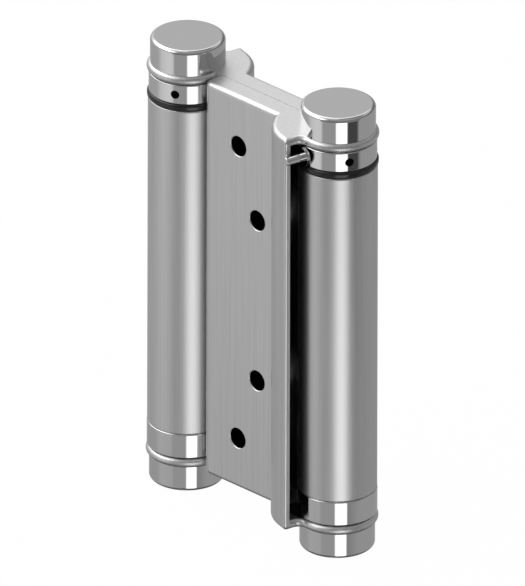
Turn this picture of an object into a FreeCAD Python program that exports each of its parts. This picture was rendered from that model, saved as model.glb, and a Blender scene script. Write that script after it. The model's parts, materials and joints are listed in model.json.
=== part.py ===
import FreeCAD, Part
import math
import os

import Sketcher
from FreeCAD import Placement, Rotation, Vector

# Double action spring hinge for swing doors: two barrels joined by a centre plate,
# a jamb leaf on one barrel and a door leaf on the other, each closed by its own spring.
# Frame: X runs from the jamb barrel to the door barrel, the door leaf faces -Y, Z is up.
# The origin lies between the two barrel axes, on the plane under the bottom caps.

os.makedirs("parts", exist_ok=True)
doc = FreeCAD.newDocument("double_action_hinge")
sizes = doc.addObject("Spreadsheet::Sheet", "Sizes")

DRIVING_SIZES = (
    # Overall form
    ("overall_height", 150.0),
    ("axis_spacing", 65.0),
    # Barrel tubes, whose size the rings, washers, lugs and caps follow
    ("tube_diameter", 24.4),
    ("tube_wall", 1.5),
    ("tube_edge_round", 0.5),
    # End caps
    ("cap_inset", 0.6),
    ("cap_height", 8.3),
    ("cap_round", 1.2),
    ("cap_floor", 2.4),
    # Leaves
    ("lug_overhang", 0.4),
    ("lug_thickness", 3.0),
    ("leaf_depth", 7.0),
    ("leaf_wall", 1.8),
    ("leaf_edge_round", 2.9),
    ("end_plate_flat", 0.1),
    ("leaf_end_gap", 1.0),
    ("leaf_half_gap", 0.05),
    ("end_flange_depth", 5.0),
    # Wing of the leaf, which the tension pin bears on
    ("wing_start", 19.9),
    ("wing_angle", 60.0),
    ("wing_bend_depth", 15.3),
    ("wing_tip_angle", 15.0),
    ("wing_bend_round", 16.0),
    ("wing_root_round", 0.6),
    ("wing_tip_round", 0.8),
    ("lug_blend_round", 2.5),
    # Screw holes of each leaf
    ("screw_hole_diameter", 6.6),
    ("screw_head_diameter", 9.4),
    ("screw_rim_chamfer", 0.2),
    ("screw_column_offset", 0.5),
    ("screw_stagger", 8.2),
    ("screw_outer_pitch", 99.6),
    ("screw_inner_pitch", 54.6),
    # Plate that joins the two tubes
    ("plate_thickness", 3.0),
    ("plate_end_gap", 1.5),
    ("plate_ring_gap", 0.3),
    # Anchor ring under the tube and the thin washer under it
    ("anchor_overhang", 0.1),
    ("anchor_height", 7.9),
    ("anchor_edge_round", 0.3),
    ("lower_washer_inset", 0.6),
    ("lower_washer_thickness", 0.4),
    # Thrust washer and tension collar above the tube
    ("thrust_washer_overhang", 0.3),
    ("thrust_washer_thickness", 2.3),
    ("thrust_washer_round", 0.8),
    ("collar_inset", 0.2),
    ("collar_height", 6.4),
    ("collar_edge_round", 0.3),
    ("collar_hole_diameter", 2.8),
    ("collar_hole_count", 5),
    ("collar_top_gap", 0.1),
    ("hub_length", 5.0),
    # Tension pin
    ("pin_clearance", 0.05),
    ("pin_lean", 10.0),
    ("pin_reach", 7.7),
    ("pin_depth", 5.4),
    ("pin_flange_gap", 0.1),
    ("pin_flange_offset", 0.5),
    ("pin_flange_thickness", 1.1),
    ("pin_tip_round", 0.4),
    # Spindle and torsion spring
    ("spindle_diameter", 9.0),
    ("spindle_chamfer", 0.6),
    ("running_clearance", 0.05),
    ("spring_wire", 3.2),
    ("spring_tube_gap", 0.9),
    ("spring_end_gap", 0.3),
    ("spring_turns", 19),
    ("spring_tang_length", 4.0),
    ("tang_clearance", 0.1),
)

for row, (alias, number) in enumerate(DRIVING_SIZES, start=1):
    sizes.set("A%d" % row, alias)
    sizes.set("B%d" % row, str(number))
    sizes.setAlias("B%d" % row, alias)
doc.recompute()

# Heights along a barrel, from the bottom cap up
BOTTOM_LUG_Z = "Sizes.cap_height"
BOTTOM_LUG_TOP_Z = "(Sizes.cap_height + Sizes.lug_thickness)"
ANCHOR_Z = "(%s + Sizes.lower_washer_thickness)" % BOTTOM_LUG_TOP_Z
TUBE_Z = "(%s + Sizes.anchor_height)" % ANCHOR_Z
TOP_LUG_TOP_Z = "(Sizes.overall_height - Sizes.cap_height)"
TOP_LUG_Z = "(%s - Sizes.lug_thickness)" % TOP_LUG_TOP_Z
COLLAR_TOP_Z = "(%s - Sizes.collar_top_gap)" % TOP_LUG_Z
COLLAR_Z = "(%s - Sizes.collar_height)" % COLLAR_TOP_Z
COLLAR_MID_Z = "(%s + Sizes.collar_height / 2)" % COLLAR_Z
TUBE_TOP_Z = "(%s - Sizes.thrust_washer_thickness)" % COLLAR_Z
ANCHOR_HUB_TOP_Z = "(%s + Sizes.hub_length)" % TUBE_Z
COLLAR_HUB_Z = "(%s - Sizes.hub_length)" % TUBE_TOP_Z

# Radii about a barrel's axis
SPINDLE_R = "(Sizes.spindle_diameter / 2)"
SPINDLE_BORE_R = "(%s + Sizes.running_clearance)" % SPINDLE_R
TUBE_R = "(Sizes.tube_diameter / 2)"
CAP_R = "(%s - Sizes.cap_inset)" % TUBE_R
LUG_R = "(%s + Sizes.lug_overhang)" % TUBE_R
ANCHOR_R = "(%s + Sizes.anchor_overhang)" % TUBE_R
LOWER_WASHER_R = "(%s - Sizes.lower_washer_inset)" % TUBE_R
THRUST_WASHER_R = "(%s + Sizes.thrust_washer_overhang)" % TUBE_R
TUBE_BORE_R = "(%s - Sizes.tube_wall)" % TUBE_R
HUB_R = "(%s - Sizes.running_clearance)" % TUBE_BORE_R
COLLAR_R = "(%s - Sizes.collar_inset)" % TUBE_R
SPRING_OUTER_R = "(%s - Sizes.spring_tube_gap)" % TUBE_BORE_R
SPRING_INNER_R = "(%s - Sizes.spring_wire)" % SPRING_OUTER_R
SPRING_MEAN_R = "(%s - Sizes.spring_wire / 2)" % SPRING_OUTER_R
PIN_R = "(Sizes.collar_hole_diameter / 2 - Sizes.pin_clearance)"

SUB_PARTS = []
TOLERANCE = 0.001


def value(expression):
    """Number that an expression on the size sheet has now."""
    return float(sizes.evalExpression(expression))


def new_body(label):
    body = doc.addObject("PartDesign::Body", label)
    body.Label = label
    SUB_PARTS.append(body)
    return body


def place_on_barrel(body, side, lean="0"):
    """Put a piece built about the local Z axis on the door or the jamb barrel."""
    sign, turn = ("1", "0") if side == "door" else ("-1", "180")
    body.Placement = Placement(Vector(), Rotation(Vector(0, 0, 1), 1))
    body.setExpression("Placement.Base.x", "%s * Sizes.axis_spacing / 2" % sign)
    body.setExpression("Placement.Rotation.Angle", "%s - %s" % (turn, lean))


def new_sketch(body, name, role, height="0"):
    """Sketch on one of the body's own origin planes, moved along its normal."""
    planes = [item for item in body.Origin.OriginFeatures if item.Role == role]
    sketch = body.newObject("Sketcher::SketchObject", "%s_%s" % (body.Label, name))
    sketch.AttachmentSupport = [(planes[0], "")]
    sketch.MapMode = "FlatFace"
    sketch.setExpression("AttachmentOffset.Base.z", height)
    return sketch


def bind(sketch, constraint, expression):
    sketch.setExpression("Constraints[%d]" % sketch.addConstraint(constraint), expression)


def draw_polygon(sketch, corners):
    """Closed outline whose corners are pairs of expressions on the size sheet."""
    points = [Vector(value(x), value(y), 0) for x, y in corners]
    count = len(points)
    for index in range(count):
        sketch.addGeometry(Part.LineSegment(points[index], points[(index + 1) % count]), False)
    for index in range(count):
        following = (index + 1) % count
        sketch.addConstraint(Sketcher.Constraint("Coincident", index, 2, following, 1))
    for index, (x, y) in enumerate(corners):
        bind(sketch, Sketcher.Constraint("DistanceX", -1, 1, index, 1, points[index].x), x)
        bind(sketch, Sketcher.Constraint("DistanceY", -1, 1, index, 1, points[index].y), y)


def draw_circle(sketch, x, y, radius):
    centre = Vector(value(x), value(y), 0)
    index = sketch.addGeometry(Part.Circle(centre, Vector(0, 0, 1), value(radius)), False)
    bind(sketch, Sketcher.Constraint("Radius", index, value(radius)), radius)
    bind(sketch, Sketcher.Constraint("DistanceX", -1, 1, index, 3, centre.x), x)
    bind(sketch, Sketcher.Constraint("DistanceY", -1, 1, index, 3, centre.y), y)


def add_pad(body, sketch, length):
    pad = body.newObject("PartDesign::Pad", sketch.Name + "_pad")
    pad.Profile = sketch
    pad.setExpression("Length", length)
    return pad


def add_pocket(body, sketch, length, reverse):
    """Cut a sketch along its normal when reverse is set, else against it."""
    pocket = body.newObject("PartDesign::Pocket", sketch.Name + "_pocket")
    pocket.Profile = sketch
    pocket.Reversed = reverse
    pocket.setExpression("Length", length)
    return pocket


def add_revolution(body, sketch):
    turned = body.newObject("PartDesign::Revolution", sketch.Name + "_turned")
    turned.Profile = sketch
    turned.ReferenceAxis = (sketch, ["V_Axis"])
    turned.Angle = 360
    return turned


def edges_where(feature, test):
    """Names of the edges of a feature's shape that a test accepts."""
    doc.recompute()
    edges = enumerate(feature.Shape.Edges, start=1)
    names = ["Edge%d" % number for number, edge in edges if test(edge)]
    if not names:
        raise RuntimeError("no edge to dress on " + feature.Name)
    return names


def add_fillet(body, test, radius, name):
    base = body.Tip
    names = edges_where(base, test)
    fillet = body.newObject("PartDesign::Fillet", "%s_%s" % (body.Label, name))
    fillet.Base = (base, names)
    fillet.setExpression("Radius", radius)
    return fillet


def add_chamfer(body, test, size, name):
    base = body.Tip
    names = edges_where(base, test)
    chamfer = body.newObject("PartDesign::Chamfer", "%s_%s" % (body.Label, name))
    chamfer.Base = (base, names)
    chamfer.setExpression("Size", size)
    return chamfer


def is_circle(edge, radius):
    """True for a full circle of this radius."""
    if edge.Degenerated or len(edge.Vertexes) != 1 or not isinstance(edge.Curve, Part.Circle):
        return False
    return abs(edge.Curve.Radius - radius) < TOLERANCE


def is_ring(edge, radius, height):
    """True for a full circle of this radius about the local Z axis at this height."""
    return is_circle(edge, radius) and abs(edge.BoundBox.ZMin - height) < TOLERANCE


def circle_test(y, radius):
    """Accepts full circles of this radius that lie no further along than this Y."""
    return lambda edge: is_circle(edge, radius) and abs(edge.BoundBox.YMax - y) < TOLERANCE


def ring_test(*rings):
    wanted = [(value(radius), value(height)) for radius, height in rings]
    return lambda edge: any(is_ring(edge, radius, height) for radius, height in wanted)


def turned_piece(label, side, profile, rings=(), edge_round="0", lean="0"):
    """Piece turned about the barrel's axis from (radius, height) corners."""
    body = new_body(label)
    sketch = new_sketch(body, "section", "XZ_Plane")
    draw_polygon(sketch, profile)
    add_revolution(body, sketch)
    if rings:
        add_fillet(body, ring_test(*rings), edge_round, "rounding")
    place_on_barrel(body, side, lean)
    return body


# Leaf: a folded sheet with a plate at each end that reaches round the barrel as a lug.
# It is drawn about its own barrel's axis and faces -Y there.

FREE_END_X = "(%s + Sizes.leaf_end_gap - Sizes.axis_spacing)" % LUG_R
FACE_Y = "(-Sizes.leaf_depth)"
BACK_Y = "(-Sizes.leaf_half_gap)"
BEND_X = "((Sizes.wing_bend_depth - Sizes.leaf_depth) / tan(Sizes.wing_angle) - Sizes.wing_start)"
BEND_Y = "(-Sizes.wing_bend_depth)"
# The wing's end face lies alongside the pin, which leans from -Y towards the leaf
BEARING_OFFSET = "(%s + Sizes.pin_clearance)" % PIN_R
BEND_TO_PIN = "(-(%s) * cos(Sizes.pin_lean) + (%s) * sin(Sizes.pin_lean))" % (BEND_X, BEND_Y)
TIP_RUN = "((%s - %s) / cos(Sizes.wing_tip_angle - Sizes.pin_lean))" % (BEND_TO_PIN, BEARING_OFFSET)
TIP_X = "(%s + %s * cos(Sizes.wing_tip_angle))" % (BEND_X, TIP_RUN)
TIP_Y = "(%s - %s * sin(Sizes.wing_tip_angle))" % (BEND_Y, TIP_RUN)
# Corner under the lug ring where the plate's edge beside the pin ends
ROOT_RUN = "(%s / 2)" % LUG_R
ROOT_X = "(-%s * cos(Sizes.pin_lean) - %s * sin(Sizes.pin_lean))" % (BEARING_OFFSET, ROOT_RUN)
ROOT_Y = "(%s * sin(Sizes.pin_lean) - %s * cos(Sizes.pin_lean))" % (BEARING_OFFSET, ROOT_RUN)
LEAF_HEIGHT = "(%s - %s)" % (TOP_LUG_TOP_Z, BOTTOM_LUG_Z)
CAVITY_HEIGHT = "(%s - %s)" % (TOP_LUG_Z, BOTTOM_LUG_TOP_Z)


def upright_test(x, y):
    """Accepts the upright edges at this place in plan."""
    def test(edge):
        box = edge.BoundBox
        upright = box.XLength < TOLERANCE and box.YLength < TOLERANCE
        return upright and math.hypot(box.XMin - x, box.YMin - y) < TOLERANCE
    return test


def leaf_rim_test(bottom, top, back_y):
    """Accepts the outer edges of both end faces, but not their edge along the other leaf."""
    def test(edge):
        box = edge.BoundBox
        end_height = min(abs(box.ZMin - bottom), abs(box.ZMin - top))
        on_end = box.ZLength < TOLERANCE and end_height < TOLERANCE
        along_back = box.YLength < TOLERANCE and abs(box.YMin - back_y) < TOLERANCE
        return on_end and not along_back
    return test


def lug_rim_test(bottom, top, radius):
    """Accepts the arcs round the lug rings at these two heights."""
    def test(edge):
        if edge.Degenerated or not isinstance(edge.Curve, Part.Circle):
            return False
        box = edge.BoundBox
        end_height = min(abs(box.ZMin - bottom), abs(box.ZMin - top))
        on_end = box.ZLength < TOLERANCE and end_height < TOLERANCE
        return on_end and abs(edge.Curve.Radius - radius) < TOLERANCE
    return test


def inner_folds():
    """Name, place in plan and radius of the folds on the sheet's inner face."""
    half_turn = "((Sizes.wing_angle - Sizes.wing_tip_angle) / 2)"
    half_sum = "((Sizes.wing_angle + Sizes.wing_tip_angle) / 2)"
    wall_x = "(%s + Sizes.leaf_wall)" % FREE_END_X
    wall_y = "(%s + Sizes.leaf_wall)" % FACE_Y
    root_x = "(Sizes.leaf_wall * tan(Sizes.wing_angle / 2) - Sizes.wing_start)"
    bend_x = "(%s + Sizes.leaf_wall * sin(%s) / cos(%s))" % (BEND_X, half_sum, half_turn)
    bend_y = "(%s + Sizes.leaf_wall * cos(%s) / cos(%s))" % (BEND_Y, half_sum, half_turn)
    return [
        ("inner_edge", wall_x, wall_y, "(Sizes.leaf_edge_round - Sizes.leaf_wall)"),
        ("inner_root", root_x, wall_y, "(Sizes.wing_root_round + Sizes.leaf_wall)"),
        ("inner_bend", bend_x, bend_y, "(Sizes.wing_bend_round - Sizes.leaf_wall)"),
    ]


def cavity_corners():
    """Outline of what is cut away between the two end plates, beside the folded sheet."""
    overrun = LUG_R
    far = "(%s * 2)" % LUG_R
    outside_x = "(%s - Sizes.leaf_end_gap)" % FREE_END_X
    flange_y = "(%s + Sizes.end_flange_depth)" % FACE_Y
    edge_fold, root_fold, bend_fold = [(x, y) for name, x, y, radius in inner_folds()]
    wall_x = edge_fold[0]
    across, along = "sin(Sizes.wing_tip_angle)", "cos(Sizes.wing_tip_angle)"
    tip_x = "(%s + Sizes.leaf_wall * %s + %s * %s)" % (TIP_X, across, overrun, along)
    tip_y = "(%s + Sizes.leaf_wall * %s - %s * %s)" % (TIP_Y, along, overrun, across)
    return [
        (outside_x, flange_y),
        (wall_x, flange_y),
        edge_fold,
        root_fold,
        bend_fold,
        (tip_x, tip_y),
        (far, tip_y),
        (far, far),
        (outside_x, far),
    ]


def screw_places():
    """Centres of the four screw holes in the plane of the leaf, as (x, z)."""
    column = "(Sizes.screw_column_offset - Sizes.axis_spacing / 2 %s Sizes.screw_stagger / 2)"
    height = "(Sizes.overall_height / 2 %s Sizes.%s / 2)"
    places = []
    for sign, pitch in (("-", "screw_outer_pitch"), ("+", "screw_inner_pitch")):
        places += [(column % sign, height % ("-", pitch)), (column % sign, height % ("+", pitch))]
    return places


def make_leaf(side):
    body = new_body(side + "_leaf")
    outline = new_sketch(body, "outline", "XY_Plane", BOTTOM_LUG_Z)
    draw_polygon(outline, [
        (FREE_END_X, BACK_Y),
        (FREE_END_X, FACE_Y),
        ("(-Sizes.wing_start)", FACE_Y),
        (BEND_X, BEND_Y),
        (TIP_X, TIP_Y),
        (ROOT_X, ROOT_Y),
        ("0", BACK_Y),
    ])
    add_pad(body, outline, LEAF_HEIGHT)
    ring = new_sketch(body, "lug_ring", "XY_Plane", BOTTOM_LUG_Z)
    draw_circle(ring, "0", "0", LUG_R)
    add_pad(body, ring, LEAF_HEIGHT)

    folds = (
        ("free_edge", FREE_END_X, FACE_Y, "Sizes.leaf_edge_round"),
        ("wing_root", "(-Sizes.wing_start)", FACE_Y, "Sizes.wing_root_round"),
        ("wing_bend", BEND_X, BEND_Y, "Sizes.wing_bend_round"),
    )
    for name, x, y, radius in folds:
        add_fillet(body, upright_test(value(x), value(y)), radius, name)

    # The plate's edge beside the pin meets the ring where both are as far from the axis
    along = math.sqrt(value(LUG_R) ** 2 - value(BEARING_OFFSET) ** 2)
    lean = math.radians(value("Sizes.pin_lean"))
    meet_x = -value(BEARING_OFFSET) * math.cos(lean) - along * math.sin(lean)
    meet_y = value(BEARING_OFFSET) * math.sin(lean) - along * math.cos(lean)
    add_fillet(body, upright_test(meet_x, meet_y), "Sizes.lug_blend_round", "blend")

    # The end plates' edges are rounded from both sides, to a bullnose
    bullnose = "((Sizes.lug_thickness - Sizes.end_plate_flat) / 2)"
    outer_rim = leaf_rim_test(value(BOTTOM_LUG_Z), value(TOP_LUG_TOP_Z), value(BACK_Y))
    add_fillet(body, outer_rim, bullnose, "outer_rim")

    cavity = new_sketch(body, "cavity", "XY_Plane", BOTTOM_LUG_TOP_Z)
    draw_polygon(cavity, cavity_corners())
    add_pocket(body, cavity, CAVITY_HEIGHT, True)
    for name, x, y, radius in inner_folds():
        add_fillet(body, upright_test(value(x), value(y)), radius, name)
    inner_rim = lug_rim_test(value(BOTTOM_LUG_TOP_Z), value(TOP_LUG_Z), value(LUG_R))
    add_fillet(body, inner_rim, bullnose, "inner_rim")

    bore = new_sketch(body, "spindle_bore", "XY_Plane", BOTTOM_LUG_Z)
    draw_circle(bore, "0", "0", SPINDLE_BORE_R)
    add_pocket(body, bore, LEAF_HEIGHT, True)

    # Screws go in from the inner face, so their countersinks are there
    holes = new_sketch(body, "screw_holes", "XZ_Plane", "(Sizes.leaf_depth - Sizes.leaf_wall)")
    for x, z in screw_places():
        draw_circle(holes, x, z, "(Sizes.screw_hole_diameter / 2)")
    doc.recompute()
    screws = body.newObject("PartDesign::Hole", side + "_leaf_screws")
    screws.Profile = holes
    screws.Reversed = True
    screws.ThreadType = "None"
    screws.DepthType = "ThroughAll"
    screws.setExpression("Diameter", "Sizes.screw_hole_diameter")
    screws.HoleCutType = "Countersink"
    screws.HoleCutCustomValues = True
    screws.setExpression("HoleCutDiameter", "Sizes.screw_head_diameter")
    screws.HoleCutCountersinkAngle = 90
    hole_rims = circle_test(value(FACE_Y), value("Sizes.screw_hole_diameter / 2"))
    add_chamfer(body, hole_rims, "Sizes.screw_rim_chamfer", "hole_rims")

    tip = upright_test(value(TIP_X), value(TIP_Y))
    add_fillet(body, tip, "Sizes.wing_tip_round", "wing_tip")
    place_on_barrel(body, side)
    return body


def make_centre_plate():
    """Plate welded between the two tubes, which goes on down between the anchor rings."""
    body = new_body("centre_plate")
    bottom = "(%s + Sizes.plate_end_gap)" % BOTTOM_LUG_TOP_Z
    top = "(%s - Sizes.plate_end_gap)" % TUBE_TOP_Z
    height = "(%s - %s)" % (top, bottom)
    half_width = "(Sizes.plate_thickness / 2)"
    right_x, left_x = "(Sizes.axis_spacing / 2)", "(-Sizes.axis_spacing / 2)"
    outline = new_sketch(body, "outline", "XY_Plane", bottom)
    draw_polygon(outline, [
        (left_x, "(-%s)" % half_width),
        (right_x, "(-%s)" % half_width),
        (right_x, half_width),
        (left_x, half_width),
    ])
    add_pad(body, outline, height)
    ring_space_r = "(%s + Sizes.plate_ring_gap)" % ANCHOR_R
    cuts = (
        ("tube_seats", TUBE_R, height),
        ("ring_spaces", ring_space_r, "(%s - %s)" % (TUBE_Z, bottom)),
    )
    for name, radius, length in cuts:
        sketch = new_sketch(body, name, "XY_Plane", bottom)
        draw_circle(sketch, left_x, "0", radius)
        draw_circle(sketch, right_x, "0", radius)
        add_pocket(body, sketch, length, True)


def make_cap(side, end):
    """End cap with a blind bore for the spindle; the top one is the bottom one turned over."""
    body = new_body("%s_%s_cap" % (side, end))
    outer = CAP_R
    outer_face, inner_face = "0", "Sizes.cap_height"
    floor = "Sizes.cap_floor"
    if end == "top":
        outer_face = "Sizes.overall_height"
        inner_face = TOP_LUG_TOP_Z
        floor = "(Sizes.overall_height - Sizes.cap_floor)"
    sketch = new_sketch(body, "section", "XZ_Plane")
    draw_polygon(sketch, [
        ("0", outer_face),
        (outer, outer_face),
        (outer, inner_face),
        (SPINDLE_BORE_R, inner_face),
        (SPINDLE_BORE_R, floor),
        ("0", floor),
    ])
    add_revolution(body, sketch)
    add_fillet(body, ring_test((outer, outer_face)), "Sizes.cap_round", "rounding")
    place_on_barrel(body, side)


def make_spindle(side):
    body = new_body(side + "_spindle")
    bottom = "(Sizes.cap_floor + Sizes.running_clearance)"
    top = "(Sizes.overall_height - %s)" % bottom
    sketch = new_sketch(body, "section", "XZ_Plane")
    draw_polygon(sketch, [("0", bottom), (SPINDLE_R, bottom), (SPINDLE_R, top), ("0", top)])
    add_revolution(body, sketch)
    ends = ring_test((SPINDLE_R, bottom), (SPINDLE_R, top))
    add_chamfer(body, ends, "Sizes.spindle_chamfer", "ends")
    place_on_barrel(body, side)


def ring_profile(inner, outer, bottom, top):
    return [(inner, bottom), (outer, bottom), (outer, top), (inner, top)]


def make_tube(side):
    top_rim = (TUBE_R, TUBE_TOP_Z)
    bottom_rim = (TUBE_R, TUBE_Z)
    profile = ring_profile(TUBE_BORE_R, TUBE_R, TUBE_Z, TUBE_TOP_Z)
    turned_piece(side + "_tube", side, profile, (top_rim, bottom_rim), "Sizes.tube_edge_round")


def make_lower_washer(side):
    profile = ring_profile(SPINDLE_BORE_R, LOWER_WASHER_R, BOTTOM_LUG_TOP_Z, ANCHOR_Z)
    turned_piece(side + "_lower_washer", side, profile)


def make_thrust_washer(side):
    profile = ring_profile(TUBE_BORE_R, THRUST_WASHER_R, TUBE_TOP_Z, COLLAR_Z)
    rims = ((THRUST_WASHER_R, TUBE_TOP_Z), (THRUST_WASHER_R, COLLAR_Z))
    turned_piece(side + "_thrust_washer", side, profile, rims, "Sizes.thrust_washer_round")


def cut_tang_seat(body, hub_end, away):
    """Square seat in a hub for the spring's bent end, cut from the hub's end face."""
    half = "(Sizes.spring_wire / 2 + Sizes.tang_clearance)"
    inner = "(%s - %s)" % (SPRING_MEAN_R, half)
    outer = "(%s + %s)" % (SPRING_MEAN_R, half)
    seat = new_sketch(body, "tang_seat", "XY_Plane", hub_end)
    low = "(-%s)" % half
    draw_polygon(seat, [(inner, low), (outer, low), (outer, half), (inner, half)])
    add_pocket(body, seat, "(Sizes.spring_tang_length + Sizes.tang_clearance)", away)


def make_anchor_ring(side):
    """Ring fixed in the tube's lower end, which holds the spring's lower end."""
    body = new_body(side + "_anchor_ring")
    sketch = new_sketch(body, "section", "XZ_Plane")
    draw_polygon(sketch, [
        (SPINDLE_BORE_R, ANCHOR_Z),
        (ANCHOR_R, ANCHOR_Z),
        (ANCHOR_R, TUBE_Z),
        (HUB_R, TUBE_Z),
        (HUB_R, ANCHOR_HUB_TOP_Z),
        (SPINDLE_BORE_R, ANCHOR_HUB_TOP_Z),
    ])
    add_revolution(body, sketch)
    rims = ring_test((ANCHOR_R, ANCHOR_Z), (ANCHOR_R, TUBE_Z))
    add_fillet(body, rims, "Sizes.anchor_edge_round", "rounding")
    cut_tang_seat(body, ANCHOR_HUB_TOP_Z, False)
    place_on_barrel(body, side, "Sizes.pin_lean")


def make_tension_collar(side):
    """Collar that holds the spring's upper end, with holes round it for the tension pin."""
    body = new_body(side + "_tension_collar")
    sketch = new_sketch(body, "section", "XZ_Plane")
    draw_polygon(sketch, [
        (SPINDLE_BORE_R, COLLAR_HUB_Z),
        (HUB_R, COLLAR_HUB_Z),
        (HUB_R, COLLAR_Z),
        (COLLAR_R, COLLAR_Z),
        (COLLAR_R, COLLAR_TOP_Z),
        (SPINDLE_BORE_R, COLLAR_TOP_Z),
    ])
    add_revolution(body, sketch)
    rims = ring_test((COLLAR_R, COLLAR_Z), (COLLAR_R, COLLAR_TOP_Z))
    add_fillet(body, rims, "Sizes.collar_edge_round", "rounding")
    cut_tang_seat(body, COLLAR_HUB_Z, True)
    hole = new_sketch(body, "pin_hole", "XZ_Plane")
    draw_circle(hole, "0", COLLAR_MID_Z, "(Sizes.collar_hole_diameter / 2)")
    first_hole = add_pocket(body, hole, "(%s + Sizes.running_clearance)" % COLLAR_R, True)
    doc.recompute()
    pattern = body.newObject("PartDesign::PolarPattern", side + "_pin_holes")
    pattern.Originals = [first_hole]
    z_axis = [item for item in body.Origin.OriginFeatures if item.Role == "Z_Axis"][0]
    pattern.Axis = (z_axis, [""])
    pattern.Angle = 360
    pattern.setExpression("Occurrences", "Sizes.collar_hole_count")
    body.Tip = pattern
    place_on_barrel(body, side, "Sizes.pin_lean")


def make_tension_pin(side):
    """Pin pushed into one of the collar's holes, with a flange to pull it out by."""
    body = new_body(side + "_tension_pin")
    flange_r = "(Sizes.collar_height / 2 - Sizes.pin_flange_gap)"
    inner_end = "(%s - Sizes.pin_depth)" % COLLAR_R
    flange = "(%s + Sizes.pin_flange_offset)" % COLLAR_R
    flange_face = "(%s + Sizes.pin_flange_thickness)" % flange
    tip = "(%s + Sizes.pin_reach)" % COLLAR_R
    sketch = new_sketch(body, "section", "XY_Plane", COLLAR_MID_Z)
    draw_polygon(sketch, [
        ("0", "(-%s)" % inner_end),
        (PIN_R, "(-%s)" % inner_end),
        (PIN_R, "(-%s)" % flange),
        (flange_r, "(-%s)" % flange),
        (flange_r, "(-%s)" % flange_face),
        (PIN_R, "(-%s)" % flange_face),
        (PIN_R, "(-%s)" % tip),
        ("0", "(-%s)" % tip),
    ])
    add_revolution(body, sketch)
    add_fillet(body, circle_test(-value(tip), value(PIN_R)), "Sizes.pin_tip_round", "tip")
    place_on_barrel(body, side, "Sizes.pin_lean")


def make_torsion_spring(side):
    """Square wire coil in the tube, with a bent end that stands in each hub."""
    body = new_body(side + "_torsion_spring")
    bottom = "(%s + Sizes.spring_end_gap)" % ANCHOR_HUB_TOP_Z
    top = "(%s - Sizes.spring_end_gap)" % COLLAR_HUB_Z
    rise = "(%s - %s - Sizes.spring_wire)" % (top, bottom)
    wire_top = "(%s + Sizes.spring_wire)" % bottom
    section = new_sketch(body, "section", "XZ_Plane")
    draw_polygon(section, ring_profile(SPRING_INNER_R, SPRING_OUTER_R, bottom, wire_top))
    coil = body.newObject("PartDesign::AdditiveHelix", side + "_coil")
    coil.Profile = section
    coil.ReferenceAxis = (section, ["V_Axis"])
    coil.Mode = "height-turns-angle"
    coil.setExpression("Height", rise)
    coil.setExpression("Turns", "Sizes.spring_turns")
    half = "(Sizes.spring_wire / 2)"
    square = [
        (SPRING_INNER_R, "(-%s)" % half),
        (SPRING_OUTER_R, "(-%s)" % half),
        (SPRING_OUTER_R, half),
        (SPRING_INNER_R, half),
    ]
    length = "(Sizes.spring_tang_length + Sizes.spring_end_gap + Sizes.spring_wire)"
    lower = new_sketch(body, "lower_tang", "XY_Plane", "(%s - %s)" % (wire_top, length))
    draw_polygon(lower, square)
    add_pad(body, lower, length)
    upper = new_sketch(body, "upper_tang", "XY_Plane", "(%s - Sizes.spring_wire)" % top)
    draw_polygon(upper, square)
    add_pad(body, upper, length)
    place_on_barrel(body, side, "Sizes.pin_lean")


def check_document():
    """Stop before anything is written if a feature failed or a piece is not a sound solid."""
    doc.recompute()
    for item in doc.Objects:
        if "Invalid" in item.State or "Error" in item.State:
            raise RuntimeError("%s did not build" % item.Name)
    for body in SUB_PARTS:
        shape = body.Shape
        if shape.isNull() or not shape.isValid() or len(shape.Solids) != 1:
            raise RuntimeError("%s is not a sound solid" % body.Label)


make_centre_plate()
for side in ("jamb", "door"):
    make_leaf(side)
    make_spindle(side)
    make_cap(side, "top")
    make_cap(side, "bottom")
    make_tube(side)
    make_lower_washer(side)
    make_anchor_ring(side)
    make_thrust_washer(side)
    make_tension_collar(side)
    make_tension_pin(side)
    make_torsion_spring(side)

check_document()
for body in SUB_PARTS:
    body.Shape.exportStep("parts/%s.step" % body.Label)
    print("%s: %.1f mm3" % (body.Label, body.Shape.Volume))
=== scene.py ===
import json
import math

import bpy
from mathutils import Matrix, Vector
from mathutils.bvhtree import BVHTree

# Double action spring hinge, standing on a white studio floor.
# Metres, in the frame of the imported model: X from barrel to barrel, Z up.

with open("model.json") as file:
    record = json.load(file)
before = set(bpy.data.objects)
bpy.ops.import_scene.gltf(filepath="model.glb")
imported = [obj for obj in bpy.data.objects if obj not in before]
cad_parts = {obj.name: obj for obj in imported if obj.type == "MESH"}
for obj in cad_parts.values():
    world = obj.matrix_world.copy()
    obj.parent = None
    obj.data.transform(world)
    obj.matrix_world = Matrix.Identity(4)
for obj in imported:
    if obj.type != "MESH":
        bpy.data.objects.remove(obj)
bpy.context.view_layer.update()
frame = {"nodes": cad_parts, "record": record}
MM = 0.001

# Camera: a parallel view from the front right, a little above
CAMERA_AZIMUTH = 45.0
CAMERA_ELEVATION = 26.5
CAMERA_ROLL = 0.14
CAMERA_DISTANCE = 1.0
IMAGE_WIDTH, IMAGE_HEIGHT = 525, 586
PIXELS_PER_MM = 3.274
LOOK_AT = Vector((0.0, 0.0, 73.6 * MM))

# Angles round the object start at the camera and grow to its right, in degrees

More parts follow.
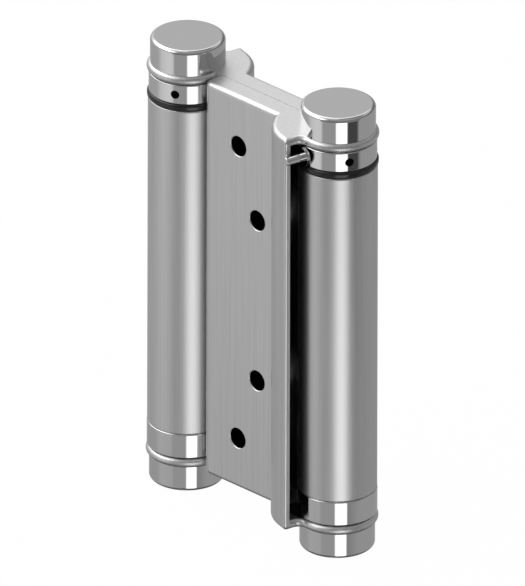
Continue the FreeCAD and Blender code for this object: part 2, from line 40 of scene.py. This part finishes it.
# Studio wall that the metal mirrors, round and below the object: (angle, upper level, lower level)
WALL_LEVELS = (
    # Behind the object
    (-180.0, 0.60, 0.60),
    (-160.0, 0.52, 0.46),
    (-150.0, 0.40, 0.36),
    # Soft panel on the left, brighter towards its top
    (-104.0, 0.44, 0.38),
    (-86.0, 0.66, 0.46),
    (-62.0, 0.74, 0.44),
    (-50.0, 0.70, 0.44),
    (-43.0, 0.36, 0.36),
    # Strip light beside the camera
    (-6.0, 0.36, 0.36),
    (-0.5, 1.75, 1.75),
    (26.0, 1.75, 1.75),
    # Black flag on the right, over the wall's upper part
    (30.5, 0.065, 0.26),
    (58.0, 0.065, 0.34),
    # Plain wall round to the back
    (66.0, 0.36, 0.36),
    (150.0, 0.36, 0.36),
    (180.0, 0.60, 0.60),
)
WALL_RADIUS = 0.6
WALL_SIDES = 96
WALL_BOTTOM, WALL_TOP = -3.0, 0.22
# Heights between which the lower level turns into the upper one, softly or at the flag's sharp edge
LOWER_LEVEL_Z, UPPER_LEVEL_Z = -0.290, -0.170
FLAG_BOTTOM_Z, FLAG_TOP_Z = -0.174, -0.160
FLAG_FROM = 20.0
# The wall darkens below the part that upright surfaces mirror
SHADE_FROM_Z, SHADE_TO_Z = -0.42, -0.56
SHADE_LEVEL = 0.12
# Dark rail along the wall's upper part, in front of the object
RAIL_FROM, RAIL_TO = -52.0, 62.0
RAIL_END_FADE = 6.0
RAIL_Z = -0.04
RAIL_EDGE_FADE = 0.01
RAIL_LEVEL = 0.22

# Sky over the wall: (elevation, level in front of the object, level behind it)
SKY_LEVELS = (
    (0.0, 0.20, 0.40),
    (20.0, 0.20, 0.50),
    (28.0, 0.20, 0.56),
    (36.0, 0.28, 1.70),
    (44.0, 0.30, 1.70),
    (56.0, 0.34, 0.60),
    (90.0, 0.45, 0.45),
)
# Angles to either side between which the front turns into the rear
SKY_TURN_FROM, SKY_TURN_TO = 75.0, 125.0
# Share of the rear's light on the object's right and left, and how far out it is reached
REAR_RIGHT, REAR_LEFT = 0.35, 1.65
REAR_LEAN = 0.45
# Key light in the sky on the left
KEY_AZIMUTH, KEY_HALF_WIDTH = -95.0, 62.0
KEY_ELEVATION, KEY_HALF_HEIGHT = 42.0, 22.0
KEY_CORE = 0.5
KEY_LEVEL = 2.4

FLOOR_HALF_SIZE = 2.0
FLOOR_GREY = 0.9
# Share of plain white in what the camera sees of the floor
FLOOR_GLOW = 0.985

# Brush lines are this many times longer than they are wide
BRUSH_STRETCH = 60.0
# Deepest brush line that the bump stands for
BRUSH_DEPTH = 0.02 * MM
# Speckles a metre in the gloss of plastic
SPECKLE = 900.0

# The inside of a leaf looks at the leaves or at its own barrel from closer than this; those faces
# get painted shade
INNER_REACH = 45.0 * MM
# Both ends of a leaf keep the outer finish, without painted shade, for this thickness
END_PLATE = 3.0 * MM
HEIGHT_TOLERANCE = 0.01 * MM
# Rays start this far off their face
RAY_START = 0.02 * MM


def grey(level):
    return (level, level, level, 1.0)


class Graph:
    """Short calls for building a node tree."""

    def __init__(self, tree):
        self.tree = tree
        tree.nodes.clear()

    def add(self, kind, **settings):
        node = self.tree.nodes.new("ShaderNode" + kind)
        for name, setting in settings.items():
            setattr(node, name, setting)
        return node

    def put(self, socket, source):
        """Set a socket to a value or link another socket to it."""
        if isinstance(source, bpy.types.NodeSocket):
            self.tree.links.new(source, socket)
        else:
            socket.default_value = source

    def coordinates(self, kind):
        """The three numbers of the texture coordinate of that kind."""
        parts = self.add("SeparateXYZ")
        self.put(parts.inputs[0], self.add("TexCoord").outputs[kind])
        return parts.outputs

    def math(self, operation, *inputs):
        node = self.add("Math", operation=operation)
        for socket, source in zip(node.inputs, inputs):
            self.put(socket, source)
        return node.outputs[0]

    def ramp(self, factor, stops):
        """Grey level from a factor, by straight lines between (position, level) stops."""
        node = self.add("ValToRGB")
        elements = node.color_ramp.elements
        while len(elements) < len(stops):
            elements.new(1.0)
        for element, (position, level) in zip(elements, stops):
            element.position = position
            element.color = grey(level)
        self.put(node.inputs["Fac"], factor)
        return node.outputs["Color"]

    def smooth(self, number, start, end):
        """0 on the start's side, 1 on the end's side and a soft step between."""
        node = self.add("MapRange", interpolation_type="SMOOTHSTEP")
        self.put(node.inputs["Value"], number)
        node.inputs["From Min"].default_value = start
        node.inputs["From Max"].default_value = end
        return node.outputs["Result"]

    def mix(self, factor, first, second):
        node = self.add("Mix", data_type="RGBA")
        self.put(node.inputs["Factor"], factor)
        self.put(node.inputs["A"], first)
        self.put(node.inputs["B"], second)
        return node.outputs["Result"]

    def finish(self, output_kind, surface):
        self.put(self.add(output_kind).inputs["Surface"], surface)


def heading(graph, x, y):
    """Angle round from the camera in degrees, from -180 to 180."""
    angle = graph.math("MULTIPLY", graph.math("ARCTAN2", y, x), math.degrees(1.0))
    return graph.math("WRAP", graph.math("ADD", angle, 90.0 - CAMERA_AZIMUTH), 180.0, -180.0)


def sky_level(graph, azimuth, elevation):
    height = graph.math("DIVIDE", elevation, 90.0)
    front = graph.ramp(height, [(angle / 90.0, level) for angle, level, _ in SKY_LEVELS])
    rear = graph.ramp(height, [(angle / 90.0, level) for angle, _, level in SKY_LEVELS])
    side = graph.math("SINE", graph.math("RADIANS", azimuth))
    leftward = graph.smooth(side, REAR_LEAN, -REAR_LEAN)
    share = graph.math("MULTIPLY_ADD", leftward, REAR_LEFT - REAR_RIGHT, REAR_RIGHT)
    turned = graph.smooth(graph.math("ABSOLUTE", azimuth), SKY_TURN_FROM, SKY_TURN_TO)
    return graph.mix(turned, front, graph.math("MULTIPLY", rear, share))


def key_share(graph, azimuth, elevation):
    """1 in the core of the key light, 0 outside it and soft between."""
    across = graph.math("ABSOLUTE", graph.math("SUBTRACT", azimuth, KEY_AZIMUTH))
    rise = graph.math("ABSOLUTE", graph.math("SUBTRACT", elevation, KEY_ELEVATION))
    return graph.math(
        "MULTIPLY",
        graph.smooth(across, KEY_HALF_WIDTH, KEY_HALF_WIDTH * KEY_CORE),
        graph.smooth(rise, KEY_HALF_HEIGHT, KEY_HALF_HEIGHT * KEY_CORE),
    )


def make_world():
    world = bpy.data.worlds.new("studio")
    bpy.context.scene.world = world
    world.use_nodes = True
    graph = Graph(world.node_tree)
    x, y, z = graph.coordinates("Generated")
    azimuth = heading(graph, x, y)
    elevation = graph.math("MULTIPLY", graph.math("ARCSINE", z), math.degrees(1.0))
    sky = sky_level(graph, azimuth, elevation)
    studio = graph.mix(key_share(graph, azimuth, elevation), sky, grey(KEY_LEVEL))
    # The camera sees plain white behind the object
    seen = graph.add("LightPath").outputs["Is Camera Ray"]
    background = graph.add("Background")
    graph.put(background.inputs["Color"], graph.mix(seen, studio, grey(1.0)))
    graph.finish("OutputWorld", background.outputs[0])


def new_material(name):
    material = bpy.data.materials.new(name)
    material.use_nodes = True
    return material, Graph(material.node_tree)


def new_object(name, points, faces, material):
    mesh = bpy.data.meshes.new(name)
    mesh.from_pydata(points, [], faces)
    mesh.materials.append(material)
    made = bpy.data.objects.new(name, mesh)
    bpy.context.scene.collection.objects.link(made)
    return made


def wall_level(graph):
    """Level of the wall at a point of it, from the point's angle and height."""
    x, y, z = graph.coordinates("Object")
    azimuth = heading(graph, x, y)
    turn = graph.math("DIVIDE", graph.math("ADD", azimuth, 180.0), 360.0)
    places = [((angle + 180.0) / 360.0, upper, lower) for angle, upper, lower in WALL_LEVELS]
    upper = graph.ramp(turn, [(place, level) for place, level, _ in places])
    lower = graph.ramp(turn, [(place, level) for place, _, level in places])
    rise = graph.mix(
        graph.math("GREATER_THAN", azimuth, FLAG_FROM),
        graph.smooth(z, LOWER_LEVEL_Z, UPPER_LEVEL_Z),
        graph.smooth(z, FLAG_BOTTOM_Z, FLAG_TOP_Z),
    )
    level = graph.mix(rise, lower, upper)
    along = graph.math(
        "MULTIPLY",
        graph.smooth(azimuth, RAIL_FROM, RAIL_FROM + RAIL_END_FADE),
        graph.smooth(azimuth, RAIL_TO, RAIL_TO - RAIL_END_FADE),
    )
    above = graph.smooth(z, RAIL_Z - RAIL_EDGE_FADE, RAIL_Z + RAIL_EDGE_FADE)
    level = graph.mix(graph.math("MULTIPLY", along, above), level, grey(RAIL_LEVEL))
    return graph.mix(graph.smooth(z, SHADE_FROM_Z, SHADE_TO_Z), level, grey(SHADE_LEVEL))


def make_wall():
    """Round wall that only shows as reflections, with the panels and the strip light on it."""
    material, graph = new_material("studio_wall")
    glow = graph.add("Emission")
    graph.put(glow.inputs["Color"], wall_level(graph))
    graph.finish("OutputMaterial", glow.outputs[0])
    points, faces = [], []
    for index in range(WALL_SIDES):
        turn = 2.0 * math.pi * index / WALL_SIDES
        x, y = WALL_RADIUS * math.cos(turn), WALL_RADIUS * math.sin(turn)
        points += [(x, y, WALL_BOTTOM), (x, y, WALL_TOP)]
        this, following = 2 * index, 2 * ((index + 1) % WALL_SIDES)
        faces.append((this, following, following + 1, this + 1))
    wall = new_object("studio_wall", points, faces, material)
    wall.visible_camera = False
    wall.visible_diffuse = False
    wall.visible_shadow = False


def make_floor():
    material, graph = new_material("white_floor")
    diffuse = graph.add("BsdfDiffuse")
    diffuse.inputs["Color"].default_value = grey(FLOOR_GREY)
    glow = graph.add("Emission")
    glow.inputs["Strength"].default_value = 1.0
    seen = graph.add("LightPath").outputs["Is Camera Ray"]
    blend = graph.add("MixShader")
    graph.put(blend.inputs["Fac"], graph.math("MULTIPLY", seen, FLOOR_GLOW))
    graph.put(blend.inputs[1], diffuse.outputs[0])
    graph.put(blend.inputs[2], glow.outputs[0])
    graph.finish("OutputMaterial", blend.outputs[0])
    half = FLOOR_HALF_SIZE
    corners = [(-half, -half, 0), (half, -half, 0), (half, half, 0), (-half, half, 0)]
    floor = new_object("floor", corners, [(0, 1, 2, 3)], material)
    floor.visible_glossy = False


def make_camera():
    data = bpy.data.cameras.new("camera")
    data.type = "ORTHO"
    data.ortho_scale = max(IMAGE_WIDTH, IMAGE_HEIGHT) / PIXELS_PER_MM * MM
    data.clip_start = 0.01
    data.clip_end = 10.0
    camera = bpy.data.objects.new("camera", data)
    bpy.context.scene.collection.objects.link(camera)
    azimuth = math.radians(CAMERA_AZIMUTH)
    elevation = math.radians(CAMERA_ELEVATION)
    back = Vector((
        math.sin(azimuth) * math.cos(elevation),
        -math.cos(azimuth) * math.cos(elevation),
        math.sin(elevation),
    ))
    camera.location = LOOK_AT + back * CAMERA_DISTANCE
    roll = Matrix.Rotation(math.radians(CAMERA_ROLL), 3, "Z")
    aim = (-back).to_track_quat("-Z", "Y").to_matrix()
    camera.rotation_euler = (aim @ roll).to_euler()
    bpy.context.scene.camera = camera


def stretched_noise(graph, per_metre, detail):
    """Noise in the object's own metres, with its own number of grains a metre on each axis."""
    mapping = graph.add("Mapping")
    graph.put(mapping.inputs["Vector"], graph.add("TexCoord").outputs["Object"])
    mapping.inputs["Scale"].default_value = per_metre
    noise = graph.add("TexNoise")
    noise.inputs["Scale"].default_value = 1.0
    noise.inputs["Detail"].default_value = detail
    graph.put(noise.inputs["Vector"], mapping.outputs[0])
    return noise.outputs["Fac"]


def metal(name, level, roughness, grain, streak, bump):
    """Steel with upright brush lines: grain in lines a metre, streak as a share of the level."""
    material, graph = new_material(name)
    shader = graph.add("BsdfPrincipled")
    shader.inputs["Metallic"].default_value = 1.0
    lines = stretched_noise(graph, (grain, grain, grain / BRUSH_STRETCH), 3.0)
    low, high = level * (1.0 - streak), level * (1.0 + streak)
    graph.put(shader.inputs["Base Color"], graph.ramp(lines, [(0.3, low), (0.7, high)]))
    # The lines change the roughness by a tenth each way
    sheen = graph.math("MULTIPLY_ADD", lines, roughness * 0.2, roughness * 0.9)
    graph.put(shader.inputs["Roughness"], sheen)
    if bump:
        ridge = graph.add("Bump")
        ridge.inputs["Strength"].default_value = bump
        ridge.inputs["Distance"].default_value = BRUSH_DEPTH
        graph.put(ridge.inputs["Height"], lines)
        graph.put(shader.inputs["Normal"], ridge.outputs[0])
    graph.finish("OutputMaterial", shader.outputs["BSDF"])
    return material


def moulded(name, level, roughness):
    """Black plastic with a faint uneven gloss."""
    material, graph = new_material(name)
    shader = graph.add("BsdfPrincipled")
    shader.inputs["Base Color"].default_value = grey(level)
    speckle = stretched_noise(graph, (SPECKLE, SPECKLE, SPECKLE), 2.0)
    # The speckles change the roughness by a fifth each way
    gloss = graph.math("MULTIPLY_ADD", speckle, roughness * 0.4, roughness * 0.8)
    graph.put(shader.inputs["Roughness"], gloss)
    graph.finish("OutputMaterial", shader.outputs["BSDF"])
    return material


def surface_tree(node):
    points = [node.matrix_world @ vertex.co for vertex in node.data.vertices]
    return BVHTree.FromPolygons(points, [face.vertices for face in node.data.polygons])


def mark_inner_faces(node, others, margin):
    """Put the faces that look at one of the others into the node's second material slot, which
    holds painted shade.

    Faces closer than the margin to the node's lower or upper end keep the first.
    """
    trees = [surface_tree(other) for other in others]
    turn = node.matrix_world.to_3x3()
    heights = [(node.matrix_world @ vertex.co).z for vertex in node.data.vertices]
    low = min(heights) + margin - HEIGHT_TOLERANCE
    high = max(heights) - margin + HEIGHT_TOLERANCE
    for face in node.data.polygons:
        centre = node.matrix_world @ face.center
        if not low < centre.z < high:
            continue
        outward = (turn @ face.normal).normalized()
        start = centre + outward * RAY_START
        if any(tree.ray_cast(start, outward, INNER_REACH)[0] for tree in trees):
            face.material_index = 1


def paint_inner_shade():
    # Painted shade: a darker copy of the steel on the faces inside the leaves and on the walls of
    # the collar's holes, where shade falls
    inside = metal("painted_shade_steel", 0.14, 0.45, 900.0, 0.08, 0.0)
    nodes = frame["nodes"]
    leaves = [nodes["jamb_leaf"], nodes["door_leaf"]]
    for side, leaf in zip(("jamb", "door"), leaves):
        collar = nodes[side + "_tension_collar"]
        barrel = [nodes[side + "_tube"], nodes[side + "_anchor_ring"], collar]
        leaf.data.materials.append(inside)
        mark_inner_faces(leaf, leaves + barrel, END_PLATE)
        collar.data.materials.append(inside)
        mark_inner_faces(collar, [collar], 0.0)


def dress_nodes():
    finishes = {
        "satin_steel": metal("satin_steel", 0.72, 0.40, 1400.0, 0.05, 0.1),
        "polished_steel": metal("polished_steel", 0.74, 0.045, 2500.0, 0.01, 0.0),
        "plain_steel": metal("plain_steel", 0.66, 0.25, 1200.0, 0.05, 0.2),
        "spring_steel": metal("spring_steel", 0.25, 0.35, 800.0, 0.1, 0.2),
        "black_washer": moulded("black_washer", 0.015, 0.18),
        "lower_washer": moulded("lower_washer", 0.02, 0.5),
    }
    for part in frame["record"]["subparts"]:
        node = frame["nodes"][part["node"]]
        node.data.materials.clear()
        node.data.materials.append(finishes[part["material_slot"]])
    paint_inner_shade()


dress_nodes()
make_floor()
make_wall()
make_world()
make_camera()
bpy.context.scene.view_settings.view_transform = "Standard"
